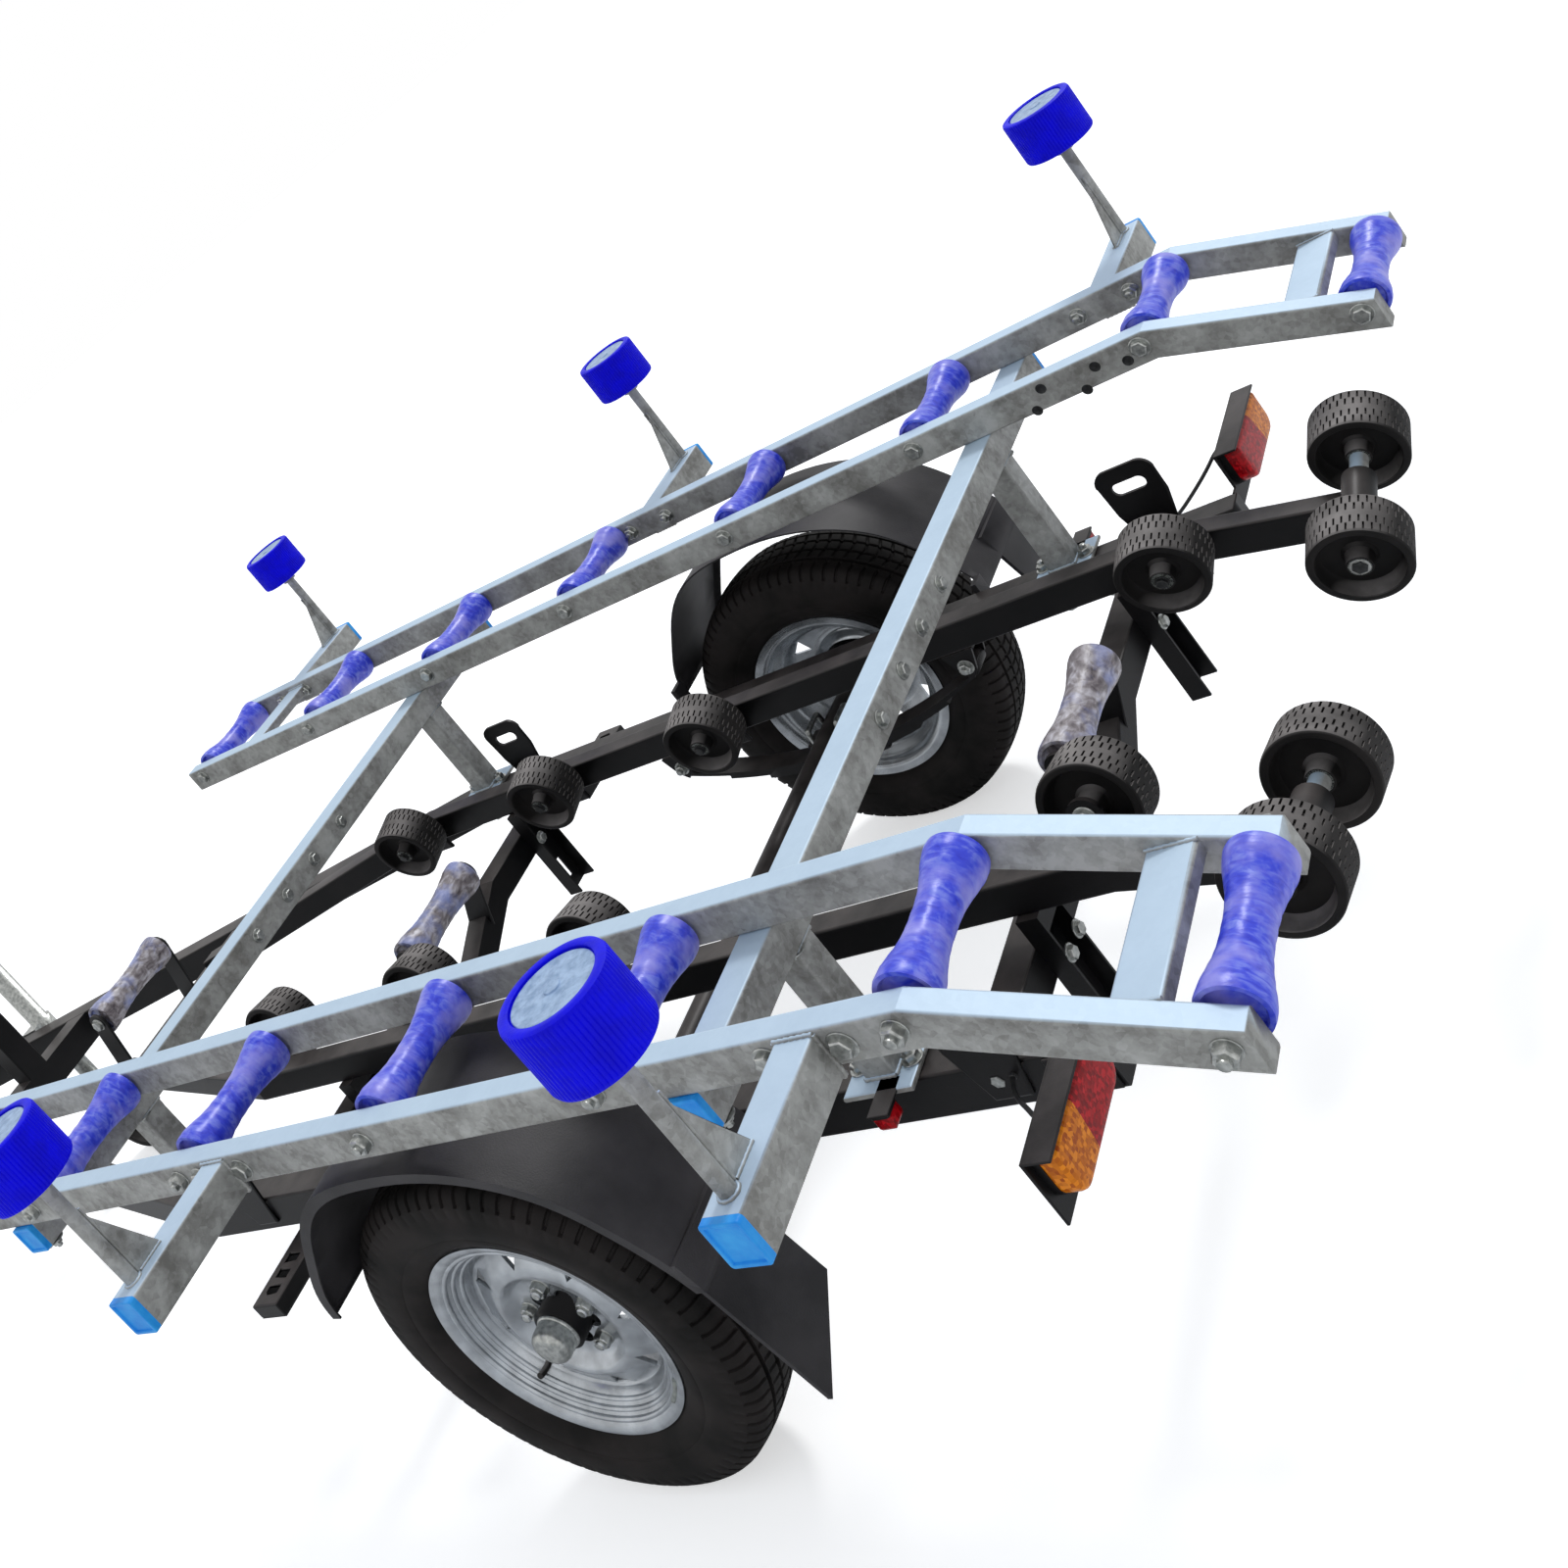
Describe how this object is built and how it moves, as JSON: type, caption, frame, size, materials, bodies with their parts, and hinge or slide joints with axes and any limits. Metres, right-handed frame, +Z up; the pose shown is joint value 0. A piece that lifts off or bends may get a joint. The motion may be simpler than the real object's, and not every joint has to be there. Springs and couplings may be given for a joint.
{
  "type": "boat trailer",
  "caption": "Single-axle boat trailer with raised roller cradles, wobble rollers, keel rollers, side guide rollers, leaf springs, mudguards, winch post and jockey wheel.",
  "frame": {"origin": "on the ground under the middle of the trailer's overall length and width", "axes": "+X forward to the coupling, +Y to the left, +Z up"},
  "size_m": [4.023, 2.078, 1.182],
  "materials": {
    "black_paint": "satin",
    "galvanised": "matte",
    "keel_rubber": "satin",
    "wobble_rubber": "matte",
    "guide_blue": "satin",
    "cap_blue": "satin",
    "tyre": "matte",
    "rim_silver": "satin",
    "zinc": "satin",
    "lamp_red": "gloss"
  },
  "bodies": {
    "chassis": {"side_rails": "black_paint", "roller_rails": "black_paint", "cross_members": "black_paint", "channel_posts": "black_paint", "axle": "black_paint", "leaf_springs": "black_paint", "mudguards": "black_paint", "tail_lamps": "lamp_red", "portal_beams": "galvanised", "cradle_ladders": "galvanised", "guide_arms": "galvanised", "end_caps": "cap_blue", "roller_pins": "zinc", "winch_post": "black_paint", "coupling": "zinc", "jockey_tube": "zinc"},
    "keel_roll_1": {"keel_roller_1": "keel_rubber"},
    "keel_roll_2": {"keel_roller_2": "keel_rubber"},
    "keel_roll_3": {"keel_roller_3": "keel_rubber"},
    "road_wheel_left": {"tyre_left": "tyre", "wheel_left": "rim_silver"},
    "tail_roll_left": {"tail_rollers_left": "wobble_rubber"},
    "cradle_roll_left_1": {"cradle_roller_left_1": "keel_rubber"},
    "cradle_roll_left_2": {"cradle_roller_left_2": "keel_rubber"},
    "cradle_roll_left_3": {"cradle_roller_left_3": "keel_rubber"},
    "cradle_roll_left_4": {"cradle_roller_left_4": "keel_rubber"},
    "cradle_roll_left_5": {"cradle_roller_left_5": "keel_rubber"},
    "cradle_roll_left_6": {"cradle_roller_left_6": "keel_rubber"},
    "cradle_roll_left_7": {"cradle_roller_left_7": "keel_rubber"},
    "cradle_roll_left_8": {"cradle_roller_left_8": "keel_rubber"},
    "wobble_roll_left_1": {"wobble_roller_left_1": "wobble_rubber"},
    "wobble_roll_left_2": {"wobble_roller_left_2": "wobble_rubber"},
    "wobble_roll_left_3": {"wobble_roller_left_3": "wobble_rubber"},
    "wobble_roll_left_4": {"wobble_roller_left_4": "wobble_rubber"},
    "guide_roll_left_1": {"guide_roller_left_1": "guide_blue"},
    "guide_roll_left_2": {"guide_roller_left_2": "guide_blue"},
    "guide_roll_left_3": {"guide_roller_left_3": "guide_blue"},
    "road_wheel_right": {"tyre_right": "tyre", "wheel_right": "rim_silver"},
    "tail_roll_right": {"tail_rollers_right": "wobble_rubber"},
    "cradle_roll_right_1": {"cradle_roller_right_1": "keel_rubber"},
    "cradle_roll_right_2": {"cradle_roller_right_2": "keel_rubber"},
    "cradle_roll_right_3": {"cradle_roller_right_3": "keel_rubber"},
    "cradle_roll_right_4": {"cradle_roller_right_4": "keel_rubber"},
    "cradle_roll_right_5": {"cradle_roller_right_5": "keel_rubber"},
    "cradle_roll_right_6": {"cradle_roller_right_6": "keel_rubber"},
    "cradle_roll_right_7": {"cradle_roller_right_7": "keel_rubber"},
    "cradle_roll_right_8": {"cradle_roller_right_8": "keel_rubber"},
    "wobble_roll_right_1": {"wobble_roller_right_1": "wobble_rubber"},
    "wobble_roll_right_2": {"wobble_roller_right_2": "wobble_rubber"},
    "wobble_roll_right_3": {"wobble_roller_right_3": "wobble_rubber"},
    "wobble_roll_right_4": {"wobble_roller_right_4": "wobble_rubber"},
    "guide_roll_right_1": {"guide_roller_right_1": "guide_blue"},
    "guide_roll_right_2": {"guide_roller_right_2": "guide_blue"},
    "guide_roll_right_3": {"guide_roller_right_3": "guide_blue"},
    "winch_roll": {"winch_drum": "zinc"},
    "bow_roll": {"bow_roller": "wobble_rubber"},
    "jockey_slide_leg": {"jockey_leg": "zinc"},
    "jockey_castor": {"jockey_fork": "zinc"},
    "jockey_roll": {"jockey_wheel": "wobble_rubber"}
  },
  "joints": [
    {"name": "keel_roll_1_spin", "type": "hinge", "parent": "chassis", "child": "keel_roll_1", "pos_m": [-1.5765, 0, 0.5], "axis": [0, 1, 0], "continuous": true},
    {"name": "keel_roll_2_spin", "type": "hinge", "parent": "chassis", "child": "keel_roll_2", "pos_m": [-0.2715, 0, 0.505], "axis": [0, 1, 0], "continuous": true},
    {"name": "keel_roll_3_spin", "type": "hinge", "parent": "chassis", "child": "keel_roll_3", "pos_m": [0.6605, 0, 0.577], "axis": [0, 1, 0], "continuous": true},
    {"name": "road_wheel_left_spin", "type": "hinge", "parent": "chassis", "child": "road_wheel_left", "pos_m": [-0.8235, 0.6795, 0.297], "axis": [0, 1, 0], "continuous": true},
    {"name": "tail_roll_left_spin", "type": "hinge", "parent": "chassis", "child": "tail_roll_left", "pos_m": [-1.9185, 0.316, 0.489], "axis": [0, 0.9833, 0.1822], "continuous": true},
    {"name": "cradle_roll_left_1_spin", "type": "hinge", "parent": "chassis", "child": "cradle_roll_left_1", "pos_m": [-1.9825, 0.65575, 0.6348], "axis": [0, 1, 0], "continuous": true},
    {"name": "cradle_roll_left_2_spin", "type": "hinge", "parent": "chassis", "child": "cradle_roll_left_2", "pos_m": [-1.7005, 0.65575, 0.726], "axis": [0, 1, 0], "continuous": true},
    {"name": "cradle_roll_left_3_spin", "type": "hinge", "parent": "chassis", "child": "cradle_roll_left_3", "pos_m": [-1.2985, 0.65575, 0.726], "axis": [0, 1, 0], "continuous": true},
    {"name": "cradle_roll_left_4_spin", "type": "hinge", "parent": "chassis", "child": "cradle_roll_left_4", "pos_m": [-0.8965, 0.65575, 0.726], "axis": [0, 1, 0], "continuous": true},
    {"name": "cradle_roll_left_5_spin", "type": "hinge", "parent": "chassis", "child": "cradle_roll_left_5", "pos_m": [-0.4945, 0.65575, 0.726], "axis": [0, 1, 0], "continuous": true},
    {"name": "cradle_roll_left_6_spin", "type": "hinge", "parent": "chassis", "child": "cradle_roll_left_6", "pos_m": [-0.0925, 0.65575, 0.726], "axis": [0, 1, 0], "continuous": true},
    {"name": "cradle_roll_left_7_spin", "type": "hinge", "parent": "chassis", "child": "cradle_roll_left_7", "pos_m": [0.3095, 0.65575, 0.726], "axis": [0, 1, 0], "continuous": true},
    {"name": "cradle_roll_left_8_spin", "type": "hinge", "parent": "chassis", "child": "cradle_roll_left_8", "pos_m": [0.7115, 0.65575, 0.726], "axis": [0, 1, 0], "continuous": true},
    {"name": "wobble_roll_left_1_spin", "type": "hinge", "parent": "chassis", "child": "wobble_roll_left_1", "pos_m": [-1.6735, 0.24, 0.532], "axis": [0, 0.9833, 0.1822], "continuous": true},
    {"name": "wobble_roll_left_2_spin", "type": "hinge", "parent": "chassis", "child": "wobble_roll_left_2", "pos_m": [-0.8235, 0.24, 0.532], "axis": [0, 0.9833, 0.1822], "continuous": true},
    {"name": "wobble_roll_left_3_spin", "type": "hinge", "parent": "chassis", "child": "wobble_roll_left_3", "pos_m": [-0.4335, 0.24, 0.532], "axis": [0, 0.9833, 0.1822], "continuous": true},
    {"name": "wobble_roll_left_4_spin", "type": "hinge", "parent": "chassis", "child": "wobble_roll_left_4", "pos_m": [-0.0485, 0.24, 0.532], "axis": [0, 0.9833, 0.1822], "continuous": true},
    {"name": "guide_roll_left_1_spin", "type": "hinge", "parent": "chassis", "child": "guide_roll_left_1", "pos_m": [-1.5885, 0.978, 0.966], "axis": [0, 0, 1], "continuous": true},
    {"name": "guide_roll_left_2_spin", "type": "hinge", "parent": "chassis", "child": "guide_roll_left_2", "pos_m": [-0.5885, 0.978, 0.966], "axis": [0, 0, 1], "continuous": true},
    {"name": "guide_roll_left_3_spin", "type": "hinge", "parent": "chassis", "child": "guide_roll_left_3", "pos_m": [0.5665, 0.978, 0.966], "axis": [0, 0, 1], "continuous": true},
    {"name": "road_wheel_right_spin", "type": "hinge", "parent": "chassis", "child": "road_wheel_right", "pos_m": [-0.8235, -0.6795, 0.297], "axis": [0, 1, 0], "continuous": true},
    {"name": "tail_roll_right_spin", "type": "hinge", "parent": "chassis", "child": "tail_roll_right", "pos_m": [-1.9185, -0.316, 0.489], "axis": [0, 0.9833, -0.1822], "continuous": true},
    {"name": "cradle_roll_right_1_spin", "type": "hinge", "parent": "chassis", "child": "cradle_roll_right_1", "pos_m": [-1.9825, -0.65575, 0.6348], "axis": [0, 1, 0], "continuous": true},
    {"name": "cradle_roll_right_2_spin", "type": "hinge", "parent": "chassis", "child": "cradle_roll_right_2", "pos_m": [-1.7005, -0.65575, 0.726], "axis": [0, 1, 0], "continuous": true},
    {"name": "cradle_roll_right_3_spin", "type": "hinge", "parent": "chassis", "child": "cradle_roll_right_3", "pos_m": [-1.2985, -0.65575, 0.726], "axis": [0, 1, 0], "continuous": true},
    {"name": "cradle_roll_right_4_spin", "type": "hinge", "parent": "chassis", "child": "cradle_roll_right_4", "pos_m": [-0.8965, -0.65575, 0.726], "axis": [0, 1, 0], "continuous": true},
    {"name": "cradle_roll_right_5_spin", "type": "hinge", "parent": "chassis", "child": "cradle_roll_right_5", "pos_m": [-0.4945, -0.65575, 0.726], "axis": [0, 1, 0], "continuous": true},
    {"name": "cradle_roll_right_6_spin", "type": "hinge", "parent": "chassis", "child": "cradle_roll_right_6", "pos_m": [-0.0925, -0.65575, 0.726], "axis": [0, 1, 0], "continuous": true},
    {"name": "cradle_roll_right_7_spin", "type": "hinge", "parent": "chassis", "child": "cradle_roll_right_7", "pos_m": [0.3095, -0.65575, 0.726], "axis": [0, 1, 0], "continuous": true},
    {"name": "cradle_roll_right_8_spin", "type": "hinge", "parent": "chassis", "child": "cradle_roll_right_8", "pos_m": [0.7115, -0.65575, 0.726], "axis": [0, 1, 0], "continuous": true},
    {"name": "wobble_roll_right_1_spin", "type": "hinge", "parent": "chassis", "child": "wobble_roll_right_1", "pos_m": [-1.6735, -0.24, 0.532], "axis": [0, 0.9833, -0.1822], "continuous": true},
    {"name": "wobble_roll_right_2_spin", "type": "hinge", "parent": "chassis", "child": "wobble_roll_right_2", "pos_m": [-0.8235, -0.24, 0.532], "axis": [0, 0.9833, -0.1822], "continuous": true},
    {"name": "wobble_roll_right_3_spin", "type": "hinge", "parent": "chassis", "child": "wobble_roll_right_3", "pos_m": [-0.4335, -0.24, 0.532], "axis": [0, 0.9833, -0.1822], "continuous": true},
    {"name": "wobble_roll_right_4_spin", "type": "hinge", "parent": "chassis", "child": "wobble_roll_right_4", "pos_m": [-0.0485, -0.24, 0.532], "axis": [0, 0.9833, -0.1822], "continuous": true},
    {"name": "guide_roll_right_1_spin", "type": "hinge", "parent": "chassis", "child": "guide_roll_right_1", "pos_m": [-1.5885, -0.978, 0.966], "axis": [0, 0, 1], "continuous": true},
    {"name": "guide_roll_right_2_spin", "type": "hinge", "parent": "chassis", "child": "guide_roll_right_2", "pos_m": [-0.5885, -0.978, 0.966], "axis": [0, 0, 1], "continuous": true},
    {"name": "guide_roll_right_3_spin", "type": "hinge", "parent": "chassis", "child": "guide_roll_right_3", "pos_m": [0.5665, -0.978, 0.966], "axis": [0, 0, 1], "continuous": true},
    {"name": "winch_drum_spin", "type": "hinge", "parent": "chassis", "child": "winch_roll", "pos_m": [1.2565, 0, 0.977], "axis": [0, 1, 0], "continuous": true},
    {"name": "bow_roll_spin", "type": "hinge", "parent": "chassis", "child": "bow_roll", "pos_m": [1.1115, 0, 0.85], "axis": [0, 1, 0], "continuous": true},
    {"name": "jockey_leg_slide", "type": "slide", "parent": "chassis", "child": "jockey_slide_leg", "axis": [0, 0, 1], "range_m": [-0.1, 0.135]},
    {"name": "jockey_fork_swivel", "type": "hinge", "parent": "jockey_slide_leg", "child": "jockey_castor", "pos_m": [1.4765, -0.2121, 0.226], "axis": [0, 0, 1], "continuous": true},
    {"name": "jockey_roll_spin", "type": "hinge", "parent": "jockey_castor", "child": "jockey_roll", "pos_m": [1.4485, -0.2121, 0.1], "axis": [0, 1, 0], "continuous": true}
  ]
}
